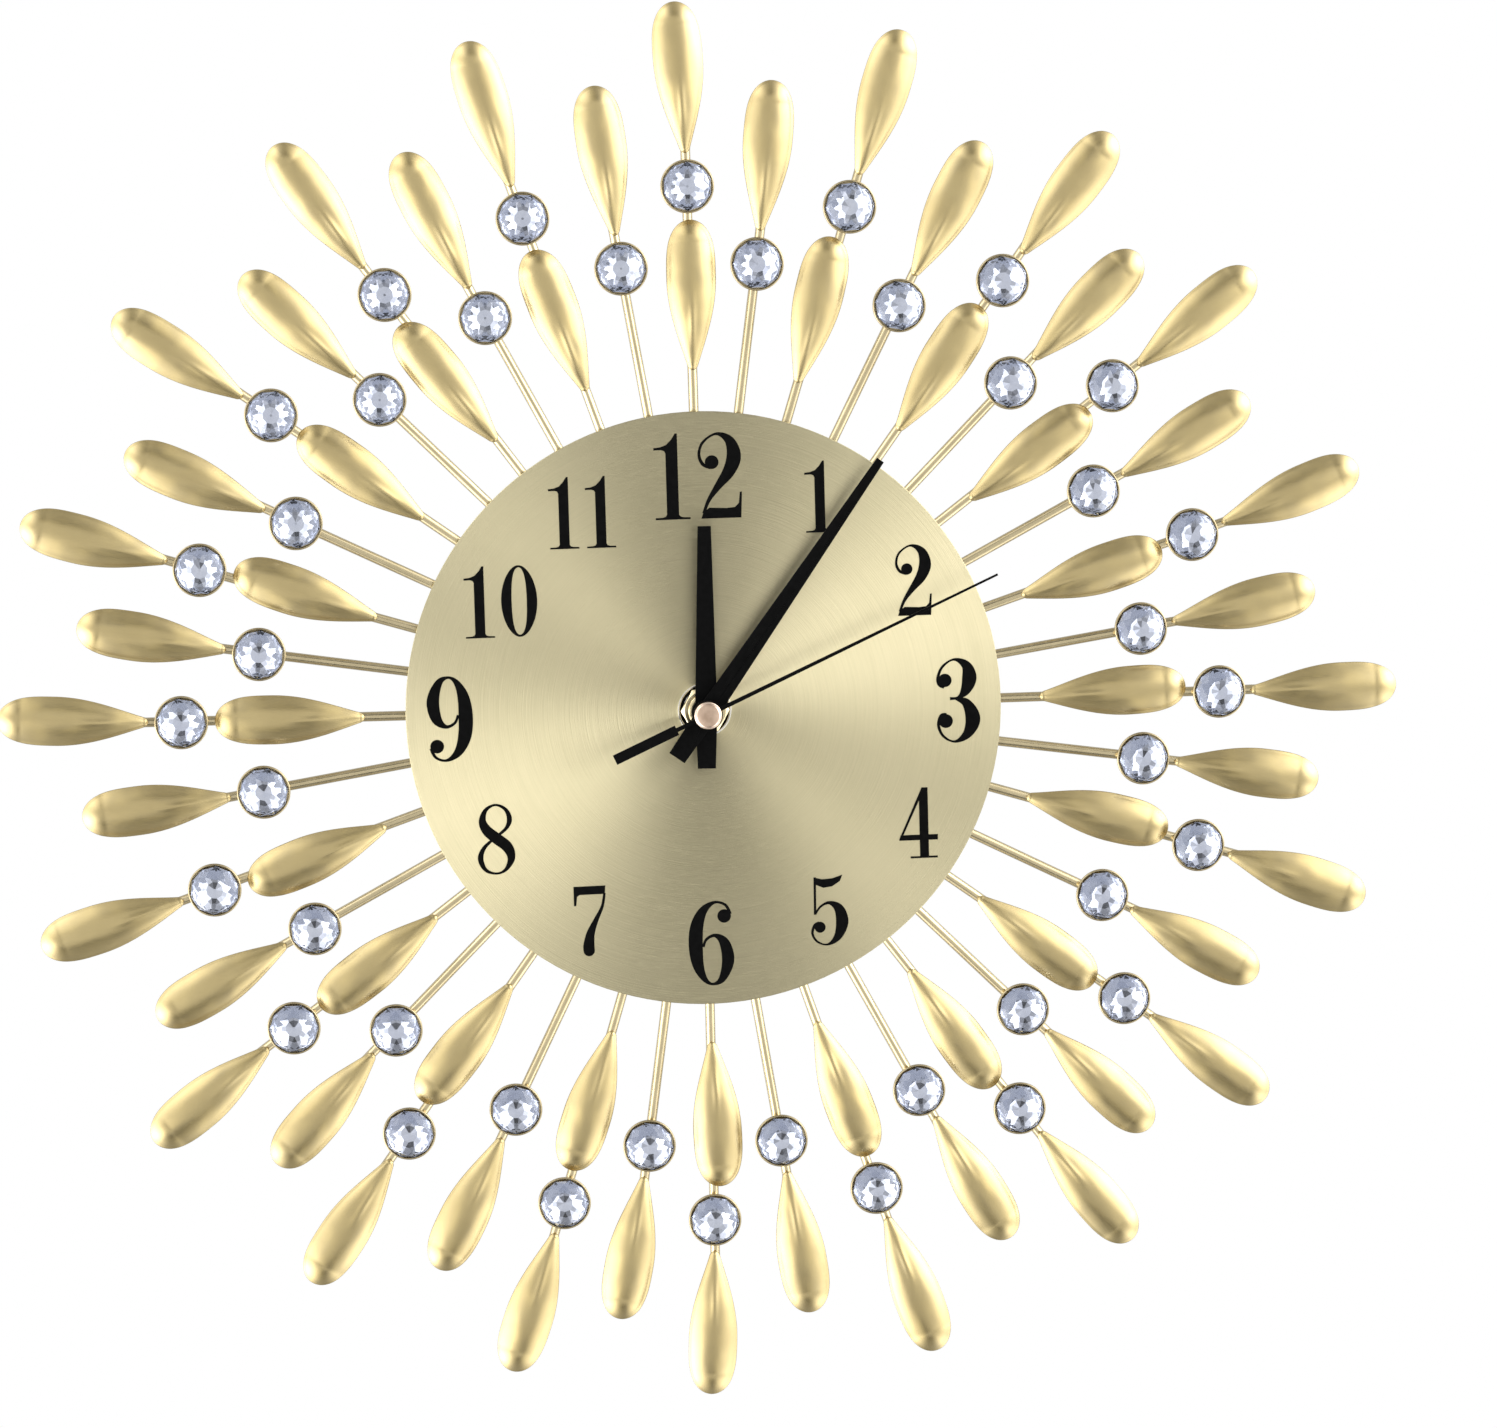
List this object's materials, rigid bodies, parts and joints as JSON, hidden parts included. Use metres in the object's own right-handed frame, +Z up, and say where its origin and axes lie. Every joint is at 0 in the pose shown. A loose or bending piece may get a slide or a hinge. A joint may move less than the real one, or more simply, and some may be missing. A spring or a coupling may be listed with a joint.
{
  "type": "sunburst wall clock",
  "caption": "Sunburst wall clock: a brushed round dial on radiating rods with stamped petals and faceted stones, a battery quartz movement and a keyhole hanger.",
  "frame": {"origin": "where the axis of the hands meets the wall, on the flat back of the movement's cover", "axes": "+Z up through 12 o'clock, the dial faces -Y, +Y into the wall, +X towards 3 o'clock"},
  "size_m": [0.3297, 0.0368, 0.3297],
  "materials": {
    "dial_aluminium": "circular brushed, champagne gold",
    "fibreboard": "pressed fibre",
    "gold_steel": "gloss gold paint",
    "gold_petal": "satin gold paint",
    "gold_cup": "gloss gold paint",
    "stone": "faceted, mirror backed",
    "zinc_steel": "zinc plated",
    "rubber": "matt",
    "brass": "turned",
    "black_plastic": "fine spark texture",
    "white_plastic": "natural acetal",
    "green_board": "solder mask",
    "black_resin": "cured resin",
    "tinned_steel": "tinned",
    "copper_wire": "enamelled",
    "battery_jacket": "plain shrink sleeve",
    "magnet": "sintered",
    "black_paint": "satin black",
    "copper_cap": "turned, copper anodised"
  },
  "bodies": {
    "clock_body": {"dial_plate": "dial_aluminium", "dial_backing": "fibreboard", "hub_plate": "gold_steel", "long_rods": "gold_steel", "short_rods": "gold_steel", "outer_petals": "gold_petal", "inner_petals": "gold_petal", "short_petals": "gold_petal", "long_cups": "gold_cup", "short_cups": "gold_cup", "long_stones": "stone", "short_stones": "stone", "hanger": "zinc_steel", "rubber_washer": "rubber", "brass_washer": "brass", "hex_nut": "brass", "threaded_bush": "brass", "front_case": "black_plastic", "rear_cover": "black_plastic", "train_bridge": "white_plastic", "circuit_board": "green_board", "chip_cover": "black_resin", "timing_crystal": "tinned_steel", "coil_core": "tinned_steel", "coil_bobbin": "white_plastic", "coil_winding": "copper_wire", "stator": "tinned_steel", "positive_contact": "tinned_steel", "negative_contact": "tinned_steel"},
    "battery_cell": {"battery": "battery_jacket"},
    "rotor": {"rotor_magnet": "magnet", "rotor_pinion": "white_plastic"},
    "intermediate": {"intermediate_wheel": "white_plastic"},
    "seconds_arbor": {"seconds_wheel": "white_plastic", "second_hand": "black_paint", "hand_cap": "copper_cap"},
    "third": {"third_wheel": "white_plastic"},
    "centre": {"centre_wheel": "white_plastic"},
    "minute_arbor": {"minute_pipe": "white_plastic", "minute_hand": "black_paint"},
    "motion": {"motion_wheel": "white_plastic", "time_set_knob": "black_plastic"},
    "hour_arbor": {"hour_wheel": "white_plastic", "hour_hand": "black_paint"}
  },
  "joints": [
    {"name": "second_turn", "type": "hinge", "parent": "clock_body", "child": "seconds_arbor", "pos_m": [0, 0, 0], "axis": [0, 1, 0], "continuous": true},
    {"name": "rotor_turn", "type": "hinge", "parent": "clock_body", "child": "rotor", "pos_m": [-0.01559, 0, 0.00509], "axis": [0, 1, 0], "continuous": true},
    {"name": "intermediate_turn", "type": "hinge", "parent": "clock_body", "child": "intermediate", "pos_m": [-0.0105, 0, 0], "axis": [0, 1, 0], "continuous": true},
    {"name": "third_turn", "type": "hinge", "parent": "clock_body", "child": "third", "pos_m": [0, 0, 0.0105], "axis": [0, 1, 0], "continuous": true},
    {"name": "centre_turn", "type": "hinge", "parent": "clock_body", "child": "centre", "pos_m": [0, 0, 0], "axis": [0, 1, 0], "continuous": true},
    {"name": "minute_turn", "type": "hinge", "parent": "clock_body", "child": "minute_arbor", "pos_m": [0, 0, 0], "axis": [0, 1, 0], "continuous": true},
    {"name": "set_knob_turn", "type": "hinge", "parent": "clock_body", "child": "motion", "pos_m": [0.0115, 0, 0], "axis": [0, 1, 0], "continuous": true},
    {"name": "hour_turn", "type": "hinge", "parent": "clock_body", "child": "hour_arbor", "pos_m": [0, 0, 0], "axis": [0, 1, 0], "continuous": true},
    {"name": "battery_lift_out", "type": "slide", "parent": "clock_body", "child": "battery_cell", "axis": [0, 1, 0], "range_m": [0, 0.018]}
  ],
  "couplings": [
    {"joint": "intermediate_turn", "follows": "second_turn", "ratio": -6},
    {"joint": "rotor_turn", "follows": "second_turn", "ratio": 30},
    {"joint": "third_turn", "follows": "second_turn", "ratio": -0.13333},
    {"joint": "centre_turn", "follows": "second_turn", "ratio": 0.016667},
    {"joint": "set_knob_turn", "follows": "minute_turn", "ratio": -0.33333},
    {"joint": "hour_turn", "follows": "minute_turn", "ratio": 0.083333}
  ]
}
